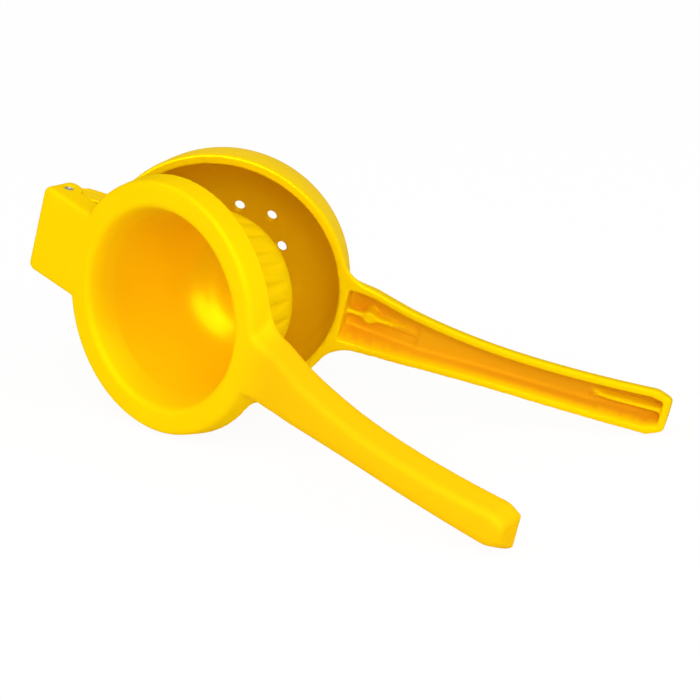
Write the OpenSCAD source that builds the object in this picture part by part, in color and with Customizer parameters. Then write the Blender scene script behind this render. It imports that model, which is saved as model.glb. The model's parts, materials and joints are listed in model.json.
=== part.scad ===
// Hinged lemon squeezer: two cast aluminium halves with yellow enamel that
// swing on one steel pin. The press half is a flat ring with a hollow, fluted
// dome; the strainer half is a round bowl with drain holes. Both carry a bowed
// handle that is an open channel on its inner side.
//
// Each half is drawn in its own frame: X runs from the pin to the handle's end,
// Y runs along the pin, and Z points away from the face where the halves meet.
// At rest the squeezer stands open on its side, on both rims and both handles.

/* [Hinge] */
// Distance from the pin to the centre of the two cups
reach = 54.5; // [52:0.5:60]
// Angle between the two halves as the squeezer stands
open_angle = 30.3; // [5:0.1:60]
// Diameter of the steel pin
pin_d = 3; // [2.5:0.1:3.6]
// Distance from the pin's axis to the plane where the halves meet
pin_offset = 1.5; // [1:0.1:2]
// Running clearance round the pin in the tongue, on the radius
pin_clear = 0.05; // [0.02:0.01:0.1]
// Height of the hinge block along the pin
block_h = 30; // [27:0.5:36]
// Radius of the fork's ears round the pin
ear_r = 4.6; // [4.4:0.1:5]
// Radius of the tongue's end round the pin
tongue_r = 3.5; // [3.2:0.1:3.8]
// Width of the tongue along the pin
tongue_w = 14; // [10:0.5:17]
// Side clearance between the tongue and each ear
side_clear = 0.3; // [0.2:0.05:0.5]
// Height of the bowl's neck behind the fork
neck_h = 25; // [22:0.5:28]
// Thickness of the bowl's neck behind the fork
neck_t = 8; // [7:0.5:9]
// Radius of the hinge block's corners
block_r = 2.4; // [2:0.1:3]

/* [Cups] */
// Outer diameter of both rims where they meet
rim_d = 83.6; // [82:0.2:88]
// Gap between the two rims when the squeezer is closed
rim_gap = 0.3; // [0.2:0.05:0.6]
// Thickness of the cast walls
wall = 2.4; // [2:0.1:2.8]

/* [Press half] */
// Height of the ring from the meeting face to its flat outer face
ring_h = 8.2; // [7:0.05:9]
// How far the ring's side leans in between the meeting face and the flat face
face_step = 0.9; // [0.4:0.1:1.6]
// Radius on the ring's outer edge
edge_r = 1.4; // [0.8:0.1:2]
// Diameter of the hollow at its mouth
mouth_d = 63.8; // [61:0.2:65]
// Radius of the soft lip round the mouth
lip_r = 2.5; // [1.5:0.1:3]
// Thickness of the skirt under the ring
skirt_t = 3; // [2.4:0.1:3.4]
// Room between the dome's tip and the bottom of the closed bowl
tip_gap = 2.3; // [1.5:0.1:5]
// Room between the dome and the bowl's side at the rim
dome_gap = 6.4; // [4.5:0.1:7]
// Thickness of the dome under its flutes at the meeting face
dome_wall = 1.6; // [1.4:0.1:2.2]
// How much the dome's radius shrinks per millimetre of height
dome_draft = 0.22; // [0.16:0.01:0.28]
// Squareness of the dome's shoulder, 2 is an ellipse
dome_square = 4.8; // [3.6:0.1:5]
// Number of flutes round the dome
flutes = 28; // [20:1:36]
// Depth of the flutes
flute_depth = 1.5; // [0.8:0.1:1.8]

/* [Strainer bowl] */
// Width of the bowl's rim where the halves meet
rim_w = 3.0; // [2.6:0.1:3.8]
// Depth of the bowl inside
bowl_depth = 35.6; // [34:0.1:40]
// Fullness of the bowl's flank, 2 is an ellipse
bowl_full = 2.35; // [2.2:0.05:2.6]
// Height of the plain band below the rim
band_h = 3; // [2:0.5:5]
// Diameter of each drain hole
drain_d = 3.5; // [2.5:0.1:4.5]
// Radius of the ring of drain holes round the middle one
drain_ring = 11.2; // [8:0.2:14]
// Number of drain holes in the ring
drains = 6; // [4:1:8]

/* [Handles] */
// Distance from the pin to the handles' ends
handle_end = 204.5; // [180:0.5:230]
// Width of each handle where it leaves the cup
neck_w = 23.6; // [21:0.2:26]
// Width at the handles' waist
waist_w = 15.2; // [13:0.2:17]
// Width across the grip near the end
grip_w = 16.6; // [15:0.2:19]
// Depth of both handles along the grip
grip_depth = 8.6; // [8:0.1:10]
// Depth of the bowl's handle where it leaves the bowl
bowl_neck_depth = 10.8; // [9:0.2:13]
// Bow of both handles towards the press side at mid length
bow = 4.7; // [2:0.1:6]
// Inward slope of the handles' sides, per millimetre of depth
side_draft = 0.36; // [0.2:0.01:0.4]
// Radius along the handles' outer corners
corner_r = 2.8; // [2:0.1:4]
// Radius that blends the handle into the rim
neck_r = 13; // [10:0.5:18]
// Length of the clipped corners at the handles' ends
clip_l = 5; // [2:0.5:8]
// Width taken off each side by the clipped corners
clip_w = 2.1; // [0.5:0.1:3]
// Width of the lands along the channel's edges
land = 2.3; // [1.8:0.1:2.6]
// Thickness of the ribs inside the channel
rib_t = 1.8; // [1.4:0.1:2.4]
// Diameter of the round boss on the rib near the cup
boss_d = 4.8; // [4:0.1:6]

/* [Hidden] */
enamel = [0.98, 0.80, 0.05];
steel = [0.72, 0.73, 0.75];
eps = 0.01;

rim_r = rim_d / 2;
bowl_r = rim_r - rim_w;
dome_r = bowl_r - dome_gap;
dome_h = bowl_depth + rim_gap - tip_gap;
mouth_r = mouth_d / 2;
face_r = rim_r - face_step;

// The pin's height in each half's own frame
press_pin = pin_offset - rim_gap / 2;
bowl_pin = -pin_offset - rim_gap / 2;

// Where the blend into the rim ends and the handle's own sides begin
blend_x = reach + sqrt(pow(rim_r + neck_r, 2) - pow(neck_w / 2 + neck_r, 2));
blend_a = asin((blend_x - reach) / (rim_r + neck_r));
// The waist lies a little past the middle of the handle
waist_x = blend_x + 0.54 * (handle_end - blend_x);
clip_x = handle_end - clip_l;
bow_x = reach + rim_r + 0.7;
// Where the deep end pockets of the channel stop
pocket_x0 = reach + rim_r - 0.4;
pocket_x1 = handle_end - wall;
deep_x0 = reach + rim_r + 24;
deep_x1 = handle_end - 23;
// Height of the step in the channel's floor between the pockets and the grip
step = 0.6;

// Lean of the standing squeezer: rims and handle ends touch the same floor
half = open_angle / 2;
span = handle_end - clip_l - reach;
lean = atan(tan(asin(rim_r / norm([span, grip_w / 2])) - atan2(grip_w / 2, span)) / cos(half));
// Shift that brings the middle of the standing squeezer over the origin
low = (reach * cos(half) + press_pin * sin(half)) * sin(lean)
    + rim_r * norm([cos(half) * sin(lean), cos(lean)]);
x_lo = -ear_r * cos(half) * cos(lean) - (ring_h - press_pin) * sin(half) - (block_h / 2 - 1) * sin(lean);
x_hi = handle_end * cos(half) * cos(lean) + (grip_w / 2 - clip_w) * sin(lean);
y_lo = -(handle_end * sin(half) + (grip_depth - pin_offset) * cos(half));
y_hi = handle_end * sin(half) + (grip_depth + pin_offset) * cos(half);
shift = [-(x_lo + x_hi) / 2, -(y_lo + y_hi) / 2, low];

function smooth(u) = let(c = min(1, max(0, u))) c * c * (3 - 2 * c);
function mix(a, b, u) = a + (b - a) * u;

// Radius of a drafted dome at depth d below its base
function dome_at(r, h, d) =
    (r - dome_draft * d) * pow(max(0, 1 - pow(d / h, dome_square)), 1 / dome_square);
// Depths that crowd towards the tip, where the dome turns over
function dome_steps(h, n) = [for (i = [0 : n]) h * pow(sin(90 * i / n), 2 / dome_square)];

// Half width of a handle at x, first without and then with its blend and clip
function side_at(x) = x < waist_x
    ? mix(waist_w, neck_w, pow((waist_x - max(x, blend_x)) / (waist_x - blend_x), 2)) / 2
    : mix(waist_w, grip_w, pow((x - waist_x) / (clip_x - waist_x), 2)) / 2;
function blend_at(x) = x < blend_x ? neck_r - sqrt(pow(neck_r, 2) - pow(blend_x - x, 2)) : 0;
function half_w(x) = x > clip_x
    ? grip_w / 2 - clip_w * (x - clip_x) / clip_l
    : side_at(x) + blend_at(x);
// Rise of the channel's edge away from the meeting face
function bow_at(x) = let(s = min(1, max(0, (x - bow_x) / (handle_end - bow_x))))
    4 * s * (1 - s) * smooth(s / 0.18) * bow;
// Depth of a handle at x, from the depth at its neck to the depth of its grip
function depth_at(x, neck, grip) = mix(neck, grip, smooth((x - reach - rim_r) / 30));

// One cross-section of a handle, as points [x, y, z] round a closed ring
function section(x, w, o, z0, d, r) = let(
    e = 0.5,
    arc = [for (a = [0 : 22.5 : 90]) [o - r + r * cos(a), z0 + d - r + r * sin(a)]],
    right = concat([[w - e, z0], [w, z0 + e]], arc),
    n = len(right))
    concat([for (p = right) [x, p[0], p[1]]],
           [for (i = [n - 1 : -1 : 0]) [x, -right[i][0], right[i][1]]]);
// One cross-section of a channel, open towards the meeting face
function hollow(x, w, z0, d, r) = let(
    o = w - side_draft * d,
    arc = [for (a = [0 : 30 : 90]) [o - r + r * cos(a), z0 + d - r + r * sin(a)]],
    right = concat([[w + side_draft * 6, z0 - 6]], arc),
    n = len(right))
    concat([for (p = right) [x, p[0], p[1]]],
           [for (i = [n - 1 : -1 : 0]) [x, -right[i][0], right[i][1]]]);

// Skin through a row of rings that all have the same number of points
module loft(rings) {
    n = len(rings[0]);
    m = len(rings);
    polyhedron(
        points = [for (r = rings) each r],
        faces = concat(
            [[for (i = [0 : n - 1]) i]],
            [for (k = [0 : m - 2], i = [0 : n - 1])
                let(a = k * n + i, b = k * n + (i + 1) % n) [a, a + n, b]],
            [for (k = [0 : m - 2], i = [0 : n - 1])
                let(a = k * n + i, b = k * n + (i + 1) % n) [b, a + n, b + n]],
            [[for (i = [n - 1 : -1 : 0]) (m - 1) * n + i]]));
}

// Stations along a handle: close together in the blend, wide along the grip
function stations() = concat(
    [for (i = [0 : 6]) blend_x - neck_r * sin((blend_a - 1) * (1 - i / 6))],
    [for (i = [1 : 14]) mix(blend_x, clip_x, i / 14)],
    [handle_end]);

module handle_body(neck_d, side) {
    loft([for (x = stations()) let(d = depth_at(x, neck_d, grip_depth))
        section(x, half_w(x), half_w(x) - 0.7 * blend_at(x) - side_draft * (d - corner_r),
                side * bow_at(x), d, corner_r)]);
}

// Half width of the channel at x, inside the lands
function channel_w(x) = side_at(min(x, clip_x)) - max(0, x - clip_x) * clip_w / clip_l - land;

// The hollow of one handle: deep by the cup, shallower along the grip, deep again at the end
module handle_hollow(neck_d, side) {
    floor_n = neck_d - wall;
    floor_g = grip_depth - wall;
    stops = concat(
        [for (i = [0 : 5]) [mix(pocket_x0, deep_x0, i / 5), mix(floor_n, floor_g, i / 5)]],
        [for (i = [0 : 10]) [mix(deep_x0 + step, deep_x1 - step, i / 10), floor_g - step]],
        [for (i = [0 : 5]) [mix(deep_x1, pocket_x1, i / 5), floor_g]]);
    loft([for (s = stops) hollow(s[0], channel_w(s[0]), side * bow_at(s[0]), s[1], 1.4)]);
}

// Upright web down the middle of the hollow, its top edge running between two depths
module rib(x0, top0, x1, top1, depth, side) {
    rotate([90, 0, 0]) translate([0, 0, -rib_t / 2]) linear_extrude(rib_t) polygon([
        [x0, side * bow_at(x0) + top0], [x1, side * bow_at(x1) + top1],
        [x1, side * bow_at(x1) + depth], [x0, side * bow_at(x0) + depth]]);
}

module handle_ribs(neck_d, side) {
    skin_n = neck_d - wall / 2;
    skin_g = grip_depth - wall / 2;
    rib(pocket_x0 - 1, 4, deep_x0 + 1, grip_depth - wall - 0.3, skin_g, side);
    boss_x = pocket_x0 + 8;
    translate([boss_x, 0, side * bow_at(boss_x) + 3.6])
        cylinder(h = skin_g - 3.6, d = boss_d, $fn = 32);
    rib(deep_x1 - 3, grip_depth - wall - 1.2, deep_x1 + 3, 3.4, skin_g, side);
    rib(deep_x1 + 3 - eps, 3.4, pocket_x1 + 1, 2.6, skin_g, side);
}

// Rounded rectangle from corner to corner
module round_rect(a, b, r) {
    polygon([for (c = [[b[0] - r, b[1] - r, 0], [a[0] + r, b[1] - r, 90],
                       [a[0] + r, a[1] + r, 180], [b[0] - r, a[1] + r, 270]], k = [0 : 18 : 90])
        [c[0] + r * cos(c[2] + k), c[1] + r * sin(c[2] + k)]]);
}

// Cylinder along Y, centred, for the pin and all that turns on it
module across(r, h) rotate([90, 0, 0]) cylinder(h = h, r = r, center = true, $fn = 64);

// Ring of the press half, still solid inside
module ring_blank() {
    rotate_extrude($fn = 128) polygon(concat(
        [[0, 0], [rim_r, 0]],
        [for (a = [0 : 18 : 90]) [face_r - edge_r + edge_r * cos(a), ring_h - edge_r + edge_r * sin(a)]],
        [[0, ring_h]]));
}

// Dome whose flank carries straight flutes that run out in scallops at the shoulder
module fluted_dome() {
    tip = dome_r + flute_depth;
    valley = dome_r - flute_depth;
    drop = dome_h + 4;
    intersection() {
        rotate_extrude($fn = 128) polygon(concat(
            [[0, ring_h / 2], [dome_r, ring_h / 2]],
            [for (d = dome_steps(dome_h, 16)) [dome_at(dome_r, dome_h, d), -d]]));
        translate([0, 0, ring_h / 2 - eps]) rotate([180, 0, 0])
            linear_extrude(height = drop, scale = 1 - dome_draft * drop / valley)
                polygon([for (i = [0 : 2 * flutes - 1]) let(
                        a = 180 * i / flutes,
                        r = (i % 2 == 0 ? tip : valley) + dome_draft * ring_h / 2)
                    [r * cos(a), r * sin(a)]]);
    }
}

// Hollow of the press half, open at the flat face, with a soft lip
module cup_hollow() {
    r = dome_r - flute_depth - dome_wall;
    h = dome_h - wall;
    rotate_extrude($fn = 128) polygon(concat(
        [[0, ring_h + 1], [mouth_r + lip_r, ring_h + 1]],
        [for (a = [90 : -13.5 : 22.5])
            [mouth_r + lip_r - lip_r * cos(a), ring_h - lip_r + lip_r * sin(a)]],
        [for (d = dome_steps(h, 14)) [dome_at(r, h, d), -d]]));
}

// Groove between the skirt and the root of the dome
module ring_groove() {
    deep = ring_h - wall - 0.6;
    rotate_extrude($fn = 128) polygon([
        [dome_r + 0.2, -1], [dome_r + 0.2, 0], [max(dome_r + 1, mouth_r + wall), deep],
        [rim_r - skirt_t - 0.5, deep], [rim_r - skirt_t, 0], [rim_r - skirt_t, -1]]);
}

// Outline of the hinge block at height z, shrunk by an inset
function block_ring(z, inset) = let(
    x0 = block_r - ear_r, x1 = reach - rim_r + 8 - block_r, y = block_h / 2 - block_r, r = block_r - inset)
    [for (c = [[x1, y, 0], [x0, y, 90], [x0, -y, 180], [x1, -y, 270]], k = [0 : 18 : 90])
        [c[0] + r * cos(c[2] + k), c[1] + r * sin(c[2] + k), z]];

// Fork block beside the ring: flat outside with a soft edge, two round ears inside
module fork_block() {
    intersection() {
        union() {
            translate([0, 0, press_pin]) across(ear_r, block_h);
            translate([-ear_r, -block_h / 2, press_pin]) cube([ear_r * 2, block_h, ring_h - press_pin]);
            translate([0, -block_h / 2, 0]) cube([reach - rim_r + 8, block_h, ring_h]);
        }
        loft(concat([block_ring(-ear_r, 0)], [for (a = [0 : 18 : 90])
            block_ring(ring_h - edge_r + edge_r * sin(a), edge_r * (1 - cos(a)))]));
    }
}

// Side view of the bowl's tongue, pin at the origin, grown by a clearance
module tongue_side(grow) {
    circle(r = tongue_r + grow, $fn = 64);
    polygon([
        [0, -tongue_r - grow], [tongue_r * 0.7, -tongue_r * 0.75 - grow],
        [reach - rim_r - 3.5, pin_offset - grow], [reach - rim_r + 2, pin_offset - grow],
        [reach - rim_r + 2, neck_t + 1], [ear_r, neck_t + 1],
        [-tongue_r * 0.75 - grow, tongue_r * 0.7], [0, 0]]);
}

// The bowl's neck: it reaches over the round ears and clears them
module neck() {
    x0 = 1;
    x1 = reach - rim_r + 6;
    top = neck_t - bowl_pin;
    intersection() {
        translate([0, 0, bowl_pin]) rotate([90, 0, 0]) translate([0, 0, -neck_h / 2])
            linear_extrude(neck_h) difference() {
                polygon([[x0, -bowl_pin], [x0, ear_r + 1.8], [ear_r - 0.4, top], [x1, top], [x1, -bowl_pin]]);
                circle(r = ear_r + side_clear + 0.1, $fn = 64);
            }
        linear_extrude(neck_t + 1) round_rect([x0 - 1, -neck_h / 2], [x1, neck_h / 2], 1.6);
    }
}

// Room for the tongue between the ears, open towards the bowl and the back
module fork_slot() {
    w = tongue_w + 2 * side_clear;
    translate([0, 0, press_pin]) {
        rotate([-90, 0, 0]) translate([0, 0, -w / 2]) linear_extrude(w) {
            tongue_side(side_clear);
            translate([-ear_r - 1, -tongue_r - side_clear]) square([ear_r + 1, tongue_r + 20]);
        }
    }
}

module press_half() {
    color(enamel) place_press() {
        difference() {
            union() {
                translate([reach, 0, 0]) {
                    ring_blank();
                    fluted_dome();
                }
                handle_body(ring_h, 1);
                fork_block();
            }
            translate([reach, 0, 0]) {
                ring_groove();
                cup_hollow();
            }
            handle_hollow(ring_h, 1);
            fork_slot();
            translate([0, 0, press_pin]) across(pin_d / 2, block_h + 1);
        }
        handle_ribs(ring_h, 1);
    }
}

// Profile of the bowl, grown outwards by a wall, from its rim to its bottom
function bowl_curve(grow, n) = [for (i = [0 : n]) let(a = 90 * i / n)
    [(bowl_r + grow) * pow(cos(a), 2 / bowl_full), (bowl_depth + grow) * pow(sin(a), 2 / bowl_full)]];

// Outside of the bowl with its band and the neck that meets the fork
module bowl_blank() {
    skin = wall - 0.2;
    translate([reach, 0, 0]) {
        rotate_extrude($fn = 128) polygon(concat([[0, 0]], bowl_curve(skin, 20)));
        cylinder(h = band_h, r = rim_r, $fn = 128);
        translate([0, 0, band_h]) cylinder(h = 2, r1 = rim_r, r2 = bowl_r + 1, $fn = 128);
    }
    neck();
}

module bowl_hollow() {
    translate([reach, 0, 0])
        rotate_extrude($fn = 128) polygon(concat([[0, -1], [bowl_r, -1]], bowl_curve(0, 20)));
}

module drain_holes() {
    translate([reach, 0, bowl_depth - 8]) {
        cylinder(h = 16, d = drain_d, $fn = 32);
        for (i = [0 : drains - 1]) rotate([0, 0, 360 * i / drains])
            translate([drain_ring, 0, 0]) cylinder(h = 16, d = drain_d, $fn = 32);
    }
}

module strainer_bowl() {
    color(enamel) place_bowl() {
        difference() {
            union() {
                bowl_blank();
                handle_body(bowl_neck_depth, -1);
                translate([0, 0, bowl_pin]) rotate([90, 0, 0])
                    translate([0, 0, -tongue_w / 2]) linear_extrude(tongue_w) tongue_side(0);
            }
            bowl_hollow();
            drain_holes();
            handle_hollow(bowl_neck_depth, -1);
            translate([0, 0, bowl_pin]) across(pin_d / 2 + pin_clear, tongue_w + 1);
        }
        handle_ribs(bowl_neck_depth, -1);
    }
}

module hinge_pin() {
    color(steel) stand() rotate([0, 0, -half]) cylinder(h = block_h - 0.6, r = pin_d / 2, center = true, $fn = 64);
}

// Stand the hinge frame on the floor
module stand() translate(shift) rotate([0, lean, 0]) children();
module place_press() stand() rotate([0, 0, -half]) translate([0, press_pin, 0]) rotate([90, 0, 0]) children();
module place_bowl() stand() rotate([0, 0, half]) translate([0, -bowl_pin, 0]) rotate([-90, 0, 0]) children();

press_half();
strainer_bowl();
hinge_pin();
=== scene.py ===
# %% [markdown]
# # A hinged lemon squeezer in yellow enamel
#
# The tool has three pieces: a press half, a strainer half and a steel pin.
# Both halves are aluminium castings. They come out of a mould with every
# corner slightly round, and the enamel that is then baked on rounds the
# corners a little more. The exact solids from CAD have sharp corners, so this
# lesson turns them into castings: it softens the edges, gives the surface its
# coat of enamel, and lights it softly.
#
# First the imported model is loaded. Its pieces are already in the right place,
# in metres, and its box is kept, to compare with the finished pieces.

# %% Load the model
import json

import bmesh
import bpy
import numpy as np
from mathutils import Matrix, Vector


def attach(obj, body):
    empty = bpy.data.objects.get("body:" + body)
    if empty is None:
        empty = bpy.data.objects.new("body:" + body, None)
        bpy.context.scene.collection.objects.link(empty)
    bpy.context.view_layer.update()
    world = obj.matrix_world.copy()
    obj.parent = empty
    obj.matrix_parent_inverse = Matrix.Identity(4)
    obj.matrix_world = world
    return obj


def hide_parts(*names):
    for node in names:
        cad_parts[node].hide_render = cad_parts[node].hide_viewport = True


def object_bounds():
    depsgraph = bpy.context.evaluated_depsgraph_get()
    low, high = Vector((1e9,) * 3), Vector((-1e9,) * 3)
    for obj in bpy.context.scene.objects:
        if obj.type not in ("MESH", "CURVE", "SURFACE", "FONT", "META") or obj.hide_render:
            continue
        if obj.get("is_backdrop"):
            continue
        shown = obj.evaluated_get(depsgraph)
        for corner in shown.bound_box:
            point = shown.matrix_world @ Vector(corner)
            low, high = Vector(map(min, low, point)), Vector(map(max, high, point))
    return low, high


MM = 0.001

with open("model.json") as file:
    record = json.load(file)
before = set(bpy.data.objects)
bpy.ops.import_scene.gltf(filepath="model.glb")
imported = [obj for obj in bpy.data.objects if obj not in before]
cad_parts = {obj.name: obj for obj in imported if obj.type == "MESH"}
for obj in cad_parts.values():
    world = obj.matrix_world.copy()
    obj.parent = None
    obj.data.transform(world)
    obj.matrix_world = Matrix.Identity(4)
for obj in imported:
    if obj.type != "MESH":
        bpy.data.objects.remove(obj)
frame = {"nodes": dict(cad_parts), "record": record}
cad_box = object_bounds()

# %% [markdown]
# ## The camera
#
# A long lens far away keeps the two handles nearly parallel, as a catalogue
# view of a small tool does. The camera could be placed by its angles, but
# directions say the same with less to go wrong: the columns of its matrix are
# simply right, up and back, and the last one is its place.

# %% Camera
LENS = 222.62
SENSOR = 36.0
SIGHT_LIMIT = 20.0
view_back = Vector((0.44608, -0.82517, 0.34657)).normalized()
view_right = Vector((0.87859, 0.47754, 0.00616)).normalized()
view_up = view_back.cross(view_right).normalized()
view_centre = Vector((0.61999, -1.12120, 0.50236))


def add_object(name, data):
    """A new object with this data, linked to the scene."""
    made = bpy.data.objects.new(name, data)
    bpy.context.scene.collection.objects.link(made)
    return made


camera_data = bpy.data.cameras.new("camera")
camera_data.lens = LENS
camera_data.sensor_width = SENSOR
camera_data.clip_end = SIGHT_LIMIT
camera = add_object("camera", camera_data)
camera.matrix_world = Matrix((
    (view_right.x, view_up.x, view_back.x, view_centre.x),
    (view_right.y, view_up.y, view_back.y, view_centre.y),
    (view_right.z, view_up.z, view_back.z, view_centre.z),
    (0.0, 0.0, 0.0, 1.0)))
bpy.context.scene.camera = camera
bpy.context.scene.view_settings.view_transform = "Standard"
print("camera height above the floor: %.3f m" % view_centre.z)

# %% [markdown]
# ## The floor
#
# The tool stands on a white sweep. A floor can be made white with more light,
# but then that light also falls on the enamel and bleaches it. Here the floor
# is a plain light grey that takes the tool's shadow, and a white glow is laid
# over most of it for the rays that see it, which are camera, glossy and
# transmission rays. The light that fills the scene meets the grey alone.

# %% The rays that see things
def seen_rays(nodes, links):
    """A node output that is 1 for the rays that see things and 0 for the rest."""
    path = nodes.new("ShaderNodeLightPath")
    value = path.outputs["Is Camera Ray"]
    for kind in ("Is Glossy Ray", "Is Transmission Ray"):
        larger = nodes.new("ShaderNodeMath")
        larger.operation = "MAXIMUM"
        links.new(value, larger.inputs[0])
        links.new(path.outputs[kind], larger.inputs[1])
        value = larger.outputs[0]
    return value


print("white goes to camera, glossy and transmission rays")

# %% The floor
FLOOR_REACH = 3
FLOOR_GREY = (0.80, 0.80, 0.80, 1)
FLOOR_ROUGHNESS = 0.9
FLOOR_GLOW = 1.02
GLOW_SHARE = 0.92

floor_mesh = bpy.data.meshes.new("floor")
floor_mesh.from_pydata(
    [(-FLOOR_REACH, -FLOOR_REACH, 0), (FLOOR_REACH, -FLOOR_REACH, 0),
     (FLOOR_REACH, FLOOR_REACH, 0), (-FLOOR_REACH, FLOOR_REACH, 0)], [], [(0, 1, 2, 3)])
floor = add_object("floor", floor_mesh)
floor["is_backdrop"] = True

floor_paint = bpy.data.materials.new("floor_white")
floor_paint.use_nodes = True
floor_nodes, floor_links = floor_paint.node_tree.nodes, floor_paint.node_tree.links
floor_shader = floor_nodes["Principled BSDF"]
floor_shader.inputs["Base Color"].default_value = FLOOR_GREY
floor_shader.inputs["Roughness"].default_value = FLOOR_ROUGHNESS
floor_glow = floor_nodes.new("ShaderNodeEmission")
floor_glow.inputs["Strength"].default_value = FLOOR_GLOW
share = floor_nodes.new("ShaderNodeMath")
share.operation = "MULTIPLY"
share.inputs[1].default_value = GLOW_SHARE
floor_links.new(seen_rays(floor_nodes, floor_links), share.inputs[0])
floor_mix = floor_nodes.new("ShaderNodeMixShader")
floor_links.new(share.outputs[0], floor_mix.inputs["Fac"])
floor_links.new(floor_shader.outputs["BSDF"], floor_mix.inputs[1])
floor_links.new(floor_glow.outputs["Emission"], floor_mix.inputs[2])
floor_links.new(floor_mix.outputs["Shader"], floor_nodes["Material Output"].inputs["Surface"])
floor_mesh.materials.append(floor_paint)
print("floor: %d m wide, glow over %.0f%% of what is seen" % (2 * FLOOR_REACH, 100 * GLOW_SHARE))

# %% [markdown]
# ## The lamps
#
# Light for colour and light for gloss are kept apart. Small area lamps fill
# the tool evenly, so that it has hardly a shadow, and two of them leave no
# reflection. Two large oval softboxes do the opposite: they only show as
# reflections, so they can be moved to shape the gloss without changing the
# exposure. Their soft oval is what glows in the cup of the press.

# %% The lamps
LAMP_AIM = (0.0, 0.0, 0.04)
BOX_HEIGHT_SHARE = 0.8
# name, place and width in metres, watts, and what it does: both, fill or gloss
LAMPS = (
    ("lamp_above", (0.1, -0.2, 1.3), 1.2, 4, "both"),
    ("lamp_right", (1.2, 0.0, 0.9), 0.9, 4, "both"),
    ("lamp_left", (-1.1, -1.0, 0.8), 0.9, 6, "fill"),
    ("lamp_front", (0.85, -1.25, 0.85), 0.9, 13.2, "fill"),
    ("softbox", (0.2, -1.63, 1.51), 3.4, 130, "gloss"),
    ("softbox_left", (-1.1, -1.75, 0.5), 1.35, 25, "gloss"),
)


def soft_lamp(name, place, size, watts, use):
    """An area lamp that looks at the tool; the wider it is, the softer its shadow."""
    data = bpy.data.lights.new(name, "AREA")
    data.shape = "SQUARE"
    data.size = size
    data.energy = watts
    lamp = add_object(name, data)
    lamp.location = place
    towards = Vector(LAMP_AIM) - Vector(place)
    lamp.rotation_euler = towards.to_track_quat("-Z", "Y").to_euler()
    if use == "fill":
        lamp.visible_glossy = False
    if use == "gloss":
        data.shape = "ELLIPSE"
        data.size_y = BOX_HEIGHT_SHARE * data.size
        lamp.visible_diffuse = False
        lamp.visible_camera = False
    return lamp


for row in LAMPS:
    lamp = soft_lamp(*row)
    print(lamp.name, "%.2f m from the tool" % (lamp.location - Vector(LAMP_AIM)).length)

# %% [markdown]
# ## The sky
#
# A weak, even sky lifts the sides that no lamp reaches. As on the floor, the
# rays that see it get a plain white, so that a low view has a white background
# and the enamel has something bright to reflect at its edges.

# %% The sky
WHITE = (1, 1, 1, 1)
SKY_FILL = 0.37
SKY_SEEN = 1.0

sky = bpy.data.worlds.new("sky")
bpy.context.scene.world = sky
sky.use_nodes = True
sky_nodes, sky_links = sky.node_tree.nodes, sky.node_tree.links
sky_light = sky_nodes["Background"]
seen_sky = sky_nodes.new("ShaderNodeBackground")
for background, strength in ((sky_light, SKY_FILL), (seen_sky, SKY_SEEN)):
    background.inputs["Color"].default_value = WHITE
    background.inputs["Strength"].default_value = strength
choose = sky_nodes.new("ShaderNodeMixShader")
sky_links.new(seen_rays(sky_nodes, sky_links), choose.inputs["Fac"])
sky_links.new(sky_light.outputs["Background"], choose.inputs[1])
sky_links.new(seen_sky.outputs["Background"], choose.inputs[2])
sky_links.new(choose.outputs["Shader"], sky_nodes["World Output"].inputs["Surface"])
print("sky: strength %.2f for light, %.2f where it is seen" % (SKY_FILL, SKY_SEEN))

# %% [markdown]
# ## Helpers for materials
#
# A material is a small network, and the same few steps come back in it: noise
# on the piece's own coordinates, a weight that is stored on the mesh, a change
# of range, and a mix of two colours. Noise on Object coordinates keeps the
# pattern on the piece when a half swings; an image would need unwrapping and
# shows seams on a shape like this.

# %% A new material, noise and stored weights
def new_material(name):
    """A material with nodes: itself, its nodes, its links, its shader, its coordinates."""
    made = bpy.data.materials.new(name)
    made.use_nodes = True
    nodes, links = made.node_tree.nodes, made.node_tree.links
    coords = nodes.new("ShaderNodeTexCoord").outputs["Object"]
    return made, nodes, links, nodes["Principled BSDF"], coords


def noise(nodes, links, coords, scale, detail):
    """Noise on the object's own coordinates; scale counts ripples per metre."""
    tex = nodes.new("ShaderNodeTexNoise")
    tex.inputs["Scale"].default_value = scale
    tex.inputs["Detail"].default_value = detail
    links.new(coords, tex.inputs["Vector"])
    return tex.outputs["Fac"]


def stored(nodes, name):
    """The weight of this name that is stored on the mesh."""
    node = nodes.new("ShaderNodeAttribute")
    node.attribute_name = name
    return node.outputs["Fac"]


print("inputs of a material: noise and weights from the mesh")

# %% Ranges, sums and mixes
def map_range(nodes, links, value, **limits):
    """Value moved from one range to another; limits name the sockets that differ from 0 and 1."""
    node = nodes.new("ShaderNodeMapRange")
    for socket, limit in limits.items():
        node.inputs[socket.replace("_", " ")].default_value = limit
    links.new(value, node.inputs["Value"])
    return node.outputs["Result"]


def scaled(nodes, links, value, factor):
    """A node that gives value times factor plus its third input."""
    node = nodes.new("ShaderNodeMath")
    node.operation = "MULTIPLY_ADD"
    node.inputs[1].default_value = factor
    links.new(value, node.inputs[0])
    return node


def mix_colour(nodes, links, factor, first, second, blend="MIX"):
    """A mix of two colours; first is a colour or the output of another node."""
    node = nodes.new("ShaderNodeMix")
    node.data_type = "RGBA"
    node.blend_type = blend
    links.new(factor, node.inputs["Factor"])
    if isinstance(first, tuple):
        node.inputs[6].default_value = first
    else:
        links.new(first, node.inputs[6])
    node.inputs[7].default_value = second
    return node.outputs[2]


print("steps of a material: range, sum and mix")

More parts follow.
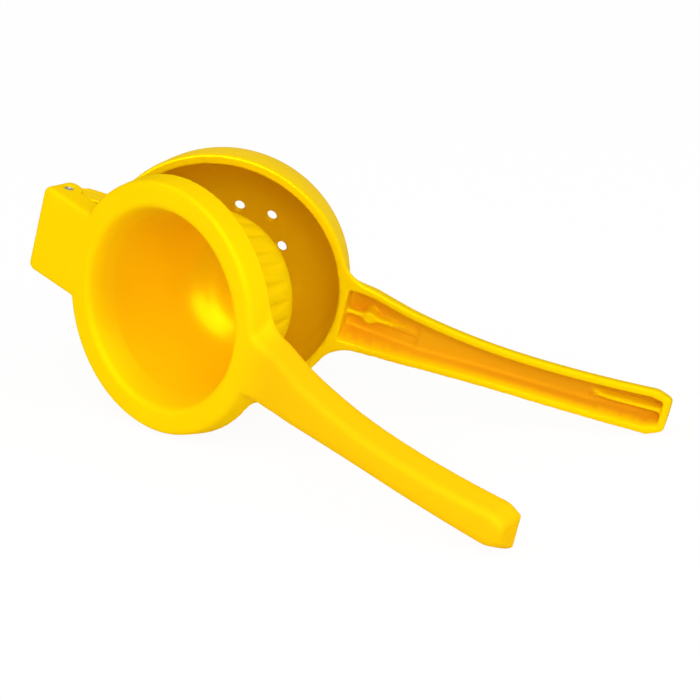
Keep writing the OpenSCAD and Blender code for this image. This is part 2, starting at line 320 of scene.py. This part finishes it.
# %% [markdown]
# ## The enamel
#
# Baked enamel is a thick, smooth coat. The material reads three weights from the mesh.
# "recess" paints shade into the colour as a deeper orange, most of all in the channels
# and also in the cups and on the press handle. "shade" paints more shade, darker, on the
# upper side of the press cup and at the far end of the bowl's channel. "satin" takes the
# gloss down everywhere but in the cup of the press and on the bowl.
#
# The gloss comes from a little metallic instead of the usual clear reflection,
# because a metallic one keeps the yellow and a clear one bleaches it. Clouds in
# the colour, haze in the gloss and a faint ripple keep it from looking like
# plastic.

# %% The enamel
# the coat, its clouds, the orange of painted shade, and the factor that painted shade multiplies
# the colour by
YELLOW = (0.97, 0.65, 0.0012, 1)
CLOUD_YELLOW = (0.96, 0.62, 0.001, 1)
# painted shade: an orange that stands in for shade in the channels, cups and press handle
PAINTED_SHADE_ORANGE = (0.91, 0.44, 0.006, 1)
# painted shade: the factor that darkens the upper side of the press cup and the far end of the
# channel
PAINTED_SHADE_FACTOR = (0.88, 0.82, 1, 1)
# ripples of noise per metre, and the range of the noise over which clouds appear
CLOUDS_PER_M, HAZE_PER_M, RIPPLES_PER_M = 28, 160, 170
FINE_DETAIL, NO_DETAIL = 3, 0
CLOUDS_FROM, CLOUDS_TO = 0.35, 0.75
# roughness of the gloss and what satin adds to it; metallic and what satin takes off it
GLOSS_FROM, GLOSS_TO, SATIN_ADDS = 0.285, 0.335, 0.16
LUSTRE, SATIN_TAKES = 0.12, 0.09
RIPPLE_STRENGTH, RIPPLE_HEIGHT = 0.05, 0.5 * MM
ENAMEL_IOR = 1.5


def enamel(name):
    """Enamel that is steered by the weights recess, shade and satin."""
    paint, nodes, links, shader, coords = new_material(name)

    clouds = map_range(nodes, links, noise(nodes, links, coords, CLOUDS_PER_M, FINE_DETAIL),
                       From_Min=CLOUDS_FROM, From_Max=CLOUDS_TO)
    colour = mix_colour(nodes, links, clouds, YELLOW, CLOUD_YELLOW)
    # painted shade: more orange where the recess weight is high
    colour = mix_colour(nodes, links, stored(nodes, "recess"), colour, PAINTED_SHADE_ORANGE)
    # painted shade: darker where the shade weight is high
    colour = mix_colour(nodes, links, stored(nodes, "shade"), colour, PAINTED_SHADE_FACTOR, "MULTIPLY")
    links.new(colour, shader.inputs["Base Color"])

    satin = stored(nodes, "satin")
    gloss = map_range(nodes, links, noise(nodes, links, coords, HAZE_PER_M, FINE_DETAIL),
                      To_Min=GLOSS_FROM, To_Max=GLOSS_TO)
    rougher = scaled(nodes, links, satin, SATIN_ADDS)
    links.new(gloss, rougher.inputs[2])
    links.new(rougher.outputs[0], shader.inputs["Roughness"])
    lustre = scaled(nodes, links, satin, -SATIN_TAKES)
    lustre.inputs[2].default_value = LUSTRE
    links.new(lustre.outputs[0], shader.inputs["Metallic"])
    shader.inputs["Specular IOR Level"].default_value = 0.0

    bump = nodes.new("ShaderNodeBump")
    bump.inputs["Strength"].default_value = RIPPLE_STRENGTH
    bump.inputs["Distance"].default_value = RIPPLE_HEIGHT
    ripples = noise(nodes, links, coords, RIPPLES_PER_M, NO_DETAIL)
    links.new(ripples, bump.inputs["Height"])
    links.new(bump.outputs["Normal"], shader.inputs["Normal"])
    shader.inputs["IOR"].default_value = ENAMEL_IOR
    shader.inputs["Coat Weight"].default_value = 0.0
    return paint


yellow_enamel = enamel("yellow_enamel")
print(yellow_enamel.name, "has", len(yellow_enamel.node_tree.nodes), "nodes")

# %% [markdown]
# ## The steel
#
# Only the ends of the pin show. They are plain steel that was hammered, so
# they are dull and uneven, and a fine noise in the roughness says that better
# than a bump that is smaller than a pixel.

# %% The steel
DULL_STEEL = (0.27, 0.25, 0.19, 1)
GRAINS_PER_M = 1800
STEEL_ROUGH_FROM, STEEL_ROUGH_TO = 0.35, 0.55


def turned_steel(name):
    """Plain steel with a fine, uneven grain."""
    steel, nodes, links, shader, coords = new_material(name)
    shader.inputs["Base Color"].default_value = DULL_STEEL
    shader.inputs["Metallic"].default_value = 1.0
    rough = map_range(nodes, links, noise(nodes, links, coords, GRAINS_PER_M, FINE_DETAIL),
                      To_Min=STEEL_ROUGH_FROM, To_Max=STEEL_ROUGH_TO)
    links.new(rough, shader.inputs["Roughness"])
    return steel


pin_steel = turned_steel("pin_steel")
print(pin_steel.name, "is ready")

# %% [markdown]
# ## Where a half lies
#
# Both halves lean and point in their own direction, so places on them are
# easiest to name in a frame of the half: x along the handle from the hinge, y
# along the pin, and z out of the closed side. The hinge comes from the joint
# in the record, and only the outward direction has to be given.

# %% Where a half lies
joint = frame["record"]["behaviour"]["joints"][0]
hinge = Vector(joint["pos_m"])
hinge_axis = Vector(joint["axis"]).normalized()
outwards = {"press": Vector((-0.2537, -0.9652, 0.0629)).normalized(),
            "bowl": Vector((-0.2537, 0.9652, 0.0629)).normalized()}


def half_frame(body):
    """Rows are the directions of a half: along its handle, along the pin, outwards."""
    out = outwards[body]
    along = out.cross(hinge_axis).normalized()
    if along.x < 0:
        along = -along
    return np.array([along, hinge_axis, out])


print("hinge at", [round(c / MM, 1) for c in hinge], "mm")

# %% [markdown]
# ## Where shade is painted
#
# The weights that the enamel reads could be painted by hand, but a rule is
# easier to change and gives the same result each time. Each rule asks where a
# vertex lies on its half and which way its surface faces, and a smooth ramp
# turns the answer into a weight from 0 to 1.
#
# The half is cut into thin slices across the handle. A vertex whose normal
# points away from the middle of its slice is on the outer skin, and one that
# points towards it is inside the channel.

# %% Limits of the rules
SLICE = 2 * MM
# distances from the hinge, along the half, at which a rule begins and holds in full
SKIN_FROM, CHANNEL_FROM, GRIP_FROM = (66 * MM, 92 * MM), (94 * MM, 99 * MM), (85 * MM, 105 * MM)
SATIN_FROM, FAR_CHANNEL_FROM = (80 * MM, 125 * MM), (110 * MM, 185 * MM)
PAST_THE_DOME = (92 * MM, 98 * MM)
# the same for the height above the hinge and the depth below the channel's open edge
ABOVE_THE_DOME, CHANNEL_DEPTH = (0, 1.5 * MM), (1.0 * MM, 3.5 * MM)
# cosines between the normal and the direction that it has to face
FACES_OUT, FACES_IN, FACES_LAND, FACES_MIDDLE = (-0.1, 0.35), (-0.3, 0.2), (0.6, 0.85), (0.2, 0.6)
# how much of the softening the flat lands are spared
LAND_KEEPS = 0.7
# the middle of the cups, how far their painted shade reaches, and the radii at which they end
CUP_MIDDLE, CUP_REACH = 54.5 * MM, 26 * MM
CUP_EDGE, BOWL_EDGE = (30 * MM, 33 * MM), (36 * MM, 37.5 * MM)
# how much painted shade, as orange, the cup, the inside of the bowl and the press handle get
CUP_SHARE, BOWL_SHARE, GRIP_SHARE = 0.15, 0.25, 0.42
print("the rules look at slices of %.0f mm" % (SLICE / MM))

# %% Ramps and slices
def ramp(value, limits):
    """0 below the first limit, 1 above the second, and a smooth step between them."""
    low, high = limits
    t = np.clip((value - low) / (high - low), 0, 1)
    return t * t * (3 - 2 * t)


def read_vectors(items, label):
    """The vectors of a mesh layer as the rows of an array."""
    flat = np.empty(3 * len(items))
    items.foreach_get(label, flat)
    return flat.reshape(-1, 3)


def slice_levels(x, z):
    """The lowest and the middle z in the slice of each vertex."""
    slice_of = np.clip((x / SLICE).astype(int), 0, None)
    low, high = np.full(slice_of.max() + 1, 1.0), np.full(slice_of.max() + 1, -1.0)
    np.minimum.at(low, slice_of, z)
    np.maximum.at(high, slice_of, z)
    return low[slice_of], (low + high)[slice_of] / 2


print("a ramp from 0 to 4 is %.2f at 1" % ramp(1, (0, 4)))

# %% Survey a half
TINY = 1e-6


def survey(mesh, body):
    """The weights skin, recess, satin and shade of each vertex.

    skin is 1 on the outer skin of the handle and less on its flat lands. recess
    weights painted shade: it is 1 deep in the channel, and has a share in the
    cups and on the press handle. satin is 0 where the enamel has its full gloss.
    shade weights more painted shade: it is 1 on the upper side of the press cup,
    towards the hinge, and at the far end of the bowl's channel."""
    axes = half_frame(body).T
    x, y, z = ((read_vectors(mesh.vertices, "co") - np.array(hinge)) @ axes).T
    normal = read_vectors(mesh.vertex_normals, "vector") @ axes

    edge, middle = slice_levels(x, z)
    away = np.stack([y, z - middle], axis=1)
    away /= np.maximum(np.linalg.norm(away, axis=1, keepdims=True), TINY)
    facing = (away * normal[:, 1:]).sum(axis=1)
    land = ramp(-normal[:, 2], FACES_LAND)
    clear_of_dome = np.maximum(ramp(z, ABOVE_THE_DOME), ramp(x, PAST_THE_DOME))
    skin = ramp(facing, FACES_OUT) * ramp(x, SKIN_FROM) * (1 - LAND_KEEPS * land) * clear_of_dome
    # recess marks where painted shade goes deep in the channel
    recess = (1 - ramp(facing, FACES_IN)) * ramp(x, CHANNEL_FROM) * ramp(z - edge, CHANNEL_DEPTH)

    radius = np.hypot(x - CUP_MIDDLE, y)
    radial = (normal[:, 0] * (x - CUP_MIDDLE) + normal[:, 1] * y) / np.maximum(radius, MM)
    if body == "press":
        cup = ramp(normal[:, 2] - radial, FACES_MIDDLE) * (1 - ramp(radius, CUP_EDGE))
        # painted shade, as orange, in the cup and along the press handle
        painted_orange = CUP_SHARE * cup + GRIP_SHARE * ramp(x, GRIP_FROM)
        # painted shade, darker on the upper side of the cup towards the hinge
        upper_side = ramp(y - (x - CUP_MIDDLE), (-CUP_REACH, CUP_REACH))
        return skin, np.maximum(recess, painted_orange), 1 - cup, cup * upper_side
    # painted shade inside the bowl, and darker painted shade at the far end of its channel
    inside = ramp(-normal[:, 2] - radial, FACES_MIDDLE) * (1 - ramp(radius, BOWL_EDGE))
    far_channel = recess * ramp(x, FAR_CHANNEL_FROM)
    return skin, np.maximum(recess, BOWL_SHARE * inside), ramp(x, SATIN_FROM), far_channel


print("weights of a vertex: skin, recess, satin and shade")

# %% [markdown]
# ## From exact solid to casting
#
# A corner of a casting is never sharp. One way is a Bevel modifier, but it
# stumbles where many small faces meet, as along the flutes. The way taken
# here works on any shape: the solid is rebuilt from small even cubes of space
# (Remesh in voxel mode) and then relaxed, which rounds every corner by about
# the same radius, outside and inside, as sand and enamel do. The outer skin
# of the handles is relaxed for many more rounds, so that its facets flow into
# one another while the edges of the channel stay. Last, Decimate drops the
# triangles that carry no shape.

# %% Copy, relax and apply
WELD = 0.002 * MM
RELAX_FACTOR = 0.5


def welded_copy(name, source):
    """A new object with a copy of the source's mesh, its doubled vertices merged."""
    mesh = source.data.copy()
    work = bmesh.new()
    work.from_mesh(mesh)
    bmesh.ops.remove_doubles(work, verts=work.verts, dist=WELD)
    work.to_mesh(mesh)
    work.free()
    mesh.materials.clear()
    return add_object(name, mesh)


def relax(piece, rounds, group=""):
    """A Smooth modifier, for the whole piece or for one vertex group."""
    modifier = piece.modifiers.new("relax", "SMOOTH")
    modifier.factor = RELAX_FACTOR
    modifier.iterations = rounds
    modifier.vertex_group = group


def applied(piece):
    """The piece's mesh with its modifiers applied, which it keeps."""
    graph = bpy.context.evaluated_depsgraph_get()
    mesh = bpy.data.meshes.new_from_object(piece.evaluated_get(graph))
    piece.modifiers.clear()
    piece.data = mesh
    return mesh


print("vertices closer than %.3f mm are merged" % (WELD / MM))

# %% Make a casting
VOXEL = 0.42 * MM
WEIGHT_STEPS = 10


def casting(name, node_name, body, rounds, skin_rounds, kept):
    """A CAD node as a casting.

    rounds relaxes all of it, skin_rounds the handle's outer skin, and kept is
    the share of the triangles that stays."""
    piece = welded_copy(name, frame["nodes"][node_name])
    rebuild = piece.modifiers.new("rebuild", "REMESH")
    rebuild.mode = "VOXEL"
    rebuild.voxel_size = VOXEL
    relax(piece, rounds)
    mesh = applied(piece)

    weight = np.round(WEIGHT_STEPS * survey(mesh, body)[0]).astype(int)
    skin = piece.vertex_groups.new(name="skin")
    for step in range(1, WEIGHT_STEPS + 1):
        skin.add(np.flatnonzero(weight == step).tolist(), step / WEIGHT_STEPS, "REPLACE")
    relax(piece, skin_rounds, "skin")
    thin = piece.modifiers.new("thin", "DECIMATE")
    thin.ratio = kept
    done = applied(piece)
    piece.vertex_groups.clear()

    done.name = name
    for label, values in zip(("recess", "satin", "shade"), survey(done, body)[1:]):
        layer = done.attributes.new(label, "FLOAT", "POINT")
        layer.data.foreach_set("value", values.astype(np.float32))
    done.polygons.foreach_set("use_smooth", np.ones(len(done.polygons), bool))
    done.materials.clear()
    done.materials.append(yellow_enamel)
    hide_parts(node_name)
    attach(piece, body)
    print(name, "triangles:", sum(len(p.vertices) - 2 for p in done.polygons))


print("voxels of %.2f mm" % (VOXEL / MM))

# %% [markdown]
# ## The press half
#
# This is the half that pushes the lemon inside out: a ring with a hollow,
# fluted dome, a fork for the hinge and one handle. Its handle is seen from
# the smooth side, so the skin is relaxed the longest.

# %% The press half
casting("press_casting", "press_half", "press", rounds=7, skin_rounds=70, kept=0.385)

# %% [markdown]
# ## The strainer half
#
# The bowl holds the half lemon and lets the juice out through its holes. It is
# relaxed in fewer rounds, because the ribs and the boss in its open channel
# are small and would melt away.

# %% The strainer half
casting("strainer_casting", "strainer_bowl", "bowl", rounds=5, skin_rounds=50, kept=0.41)

# %% [markdown]
# ## The pin
#
# A turned piece is a profile spun round a line. Radius and length come from
# the exact pin, and the ends get what peening leaves: a shallow dish, a round
# lip and a small gap beside the bore.

# %% Profile and spin
PIN_SEGMENTS = 72
# radius as a share of the pin's, and depth below its end in mm
PIN_END = np.array([(0.0, 0.55), (0.35, 0.5), (0.6, 0.25), (0.74, 0.05),
                    (0.84, 0.0), (0.94, 0.25), (1.0, 0.9)])


def pin_profile(radius, top, bottom):
    """Radius and height along the pin's outline, from the middle of one end to the other."""
    upper = np.stack([PIN_END[:, 0] * radius, top - PIN_END[:, 1] * MM], axis=1)
    lower = np.stack([PIN_END[::-1, 0] * radius, bottom + PIN_END[::-1, 1] * MM], axis=1)
    return np.concatenate([upper, lower])


def spin(profile, side):
    """Vertices and faces of a profile that is spun round the hinge line, from side on."""
    line, origin = np.array(hinge_axis), np.array(hinge)
    side = side - (side @ line) * line
    side /= np.linalg.norm(side)
    turn = np.linspace(0, 2 * np.pi, PIN_SEGMENTS, endpoint=False)
    spokes = np.cos(turn)[:, None] * side + np.sin(turn)[:, None] * np.cross(line, side)
    between = profile[1:-1]
    rings = between[:, None, :1] * spokes[None] + between[:, None, 1:] * line + origin
    tips = origin + np.outer(profile[[0, -1], 1], line)
    vertices = np.concatenate([rings.reshape(-1, 3), tips]).tolist()

    a = np.arange(PIN_SEGMENTS)
    b = (a + 1) % PIN_SEGMENTS
    starts = [ring * PIN_SEGMENTS for ring in range(len(between))]
    walls = [np.stack([k + a, n + a, n + b, k + b], axis=1) for k, n in zip(starts, starts[1:])]
    faces = np.concatenate(walls).tolist()
    first_tip = len(between) * PIN_SEGMENTS
    faces += [(first_tip, i, j) for i, j in zip(a.tolist(), b.tolist())]
    faces += [(first_tip + 1, starts[-1] + j, starts[-1] + i)
              for i, j in zip(a.tolist(), b.tolist())]
    return vertices, faces


print("outline of a pin's end:", len(PIN_END), "points")

# %% [markdown]
# ## Fit the pin
#
# The pin is fixed in the ears of the press half and turns in the tongue of the
# bowl, so it rides with the press. Its faces are made by number, and Blender
# is asked to turn all normals outwards, which is safer than counting.

# %% Fit the pin
def turned_pin(name, node_name, body):
    """A turned pin in the place and with the size of a CAD node."""
    points = read_vectors(frame["nodes"][node_name].data.vertices, "co") - np.array(hinge)
    height = points @ np.array(hinge_axis)
    radius = np.linalg.norm(points - np.outer(height, hinge_axis), axis=1).max()
    top, bottom = height.max(), height.min()
    vertices, faces = spin(pin_profile(radius, top, bottom), half_frame(body)[0])
    mesh = bpy.data.meshes.new(name)
    mesh.from_pydata(vertices, [], faces)
    work = bmesh.new()
    work.from_mesh(mesh)
    bmesh.ops.recalc_face_normals(work, faces=work.faces)
    work.to_mesh(mesh)
    work.free()
    mesh.polygons.foreach_set("use_smooth", np.ones(len(mesh.polygons), bool))
    mesh.materials.append(pin_steel)
    piece = add_object(name, mesh)
    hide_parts(node_name)
    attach(piece, body)
    print(name, "radius %.2f mm, length %.2f mm" % (radius / MM, (top - bottom) / MM))


turned_pin("turned_pin", "hinge_pin", "press")

# %% [markdown]
# ## Last look at the size
#
# The finished pieces are measured against the box of the exact solids, and
# how much the box has grown on each axis is printed. The finished pieces have
# to fill the same box as the exact solids.

# %% Compare the two boxes
made_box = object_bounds()
grown = [(made_box[1][i] - made_box[0][i] - cad_box[1][i] + cad_box[0][i]) / MM for i in range(3)]
print("grown by", [round(g, 2) for g in grown], "mm")
